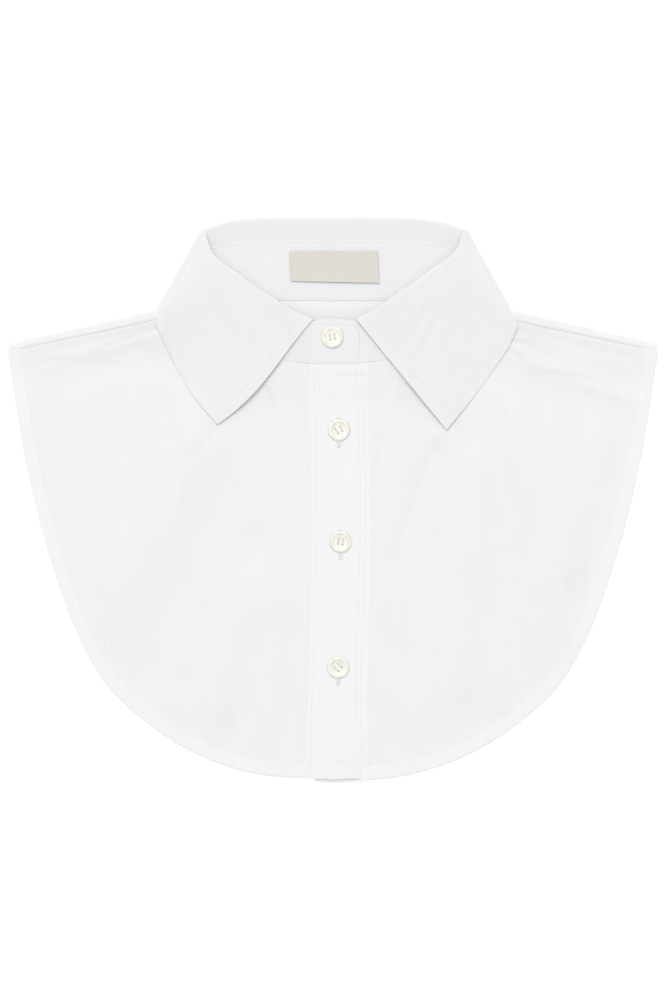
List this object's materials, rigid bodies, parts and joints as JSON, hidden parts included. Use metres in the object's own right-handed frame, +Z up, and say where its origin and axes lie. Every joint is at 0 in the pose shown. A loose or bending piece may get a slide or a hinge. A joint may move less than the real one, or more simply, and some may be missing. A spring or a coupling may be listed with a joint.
{
  "type": "detachable shirt collar",
  "caption": "White cotton shirt collar with a cropped front and back, worn under a sweater; buttoned and laid flat, front up.",
  "frame": {"origin": "middle of the base of the laid-out collar, on the surface that it lies on", "axes": "+X along the shoulders, towards the wearer's left; +Y from the front hem to the back of the neck; +Z up from the surface"},
  "size_m": [0.3586, 0.312, 0.01],
  "materials": {
    "shirting": "matte white cotton poplin, one layer",
    "shirting_doubled": "matte white cotton poplin, folded double and topstitched",
    "shirting_stiffened": "matte white cotton poplin over a fused interlining",
    "label_tape": "plain ecru woven tape",
    "button_shell": "pearly cream white, polished"
  },
  "bodies": {
    "root": {"back_panel": "shirting", "front_panel_right": "shirting", "front_panel_left": "shirting", "placket_under": "shirting_doubled", "placket_over": "shirting_doubled", "collar_stand": "shirting_stiffened", "collar_leaf": "shirting_stiffened", "label": "label_tape", "button_1": "button_shell", "button_2": "button_shell", "button_3": "button_shell", "button_4": "button_shell"}
  },
  "joints": []
}
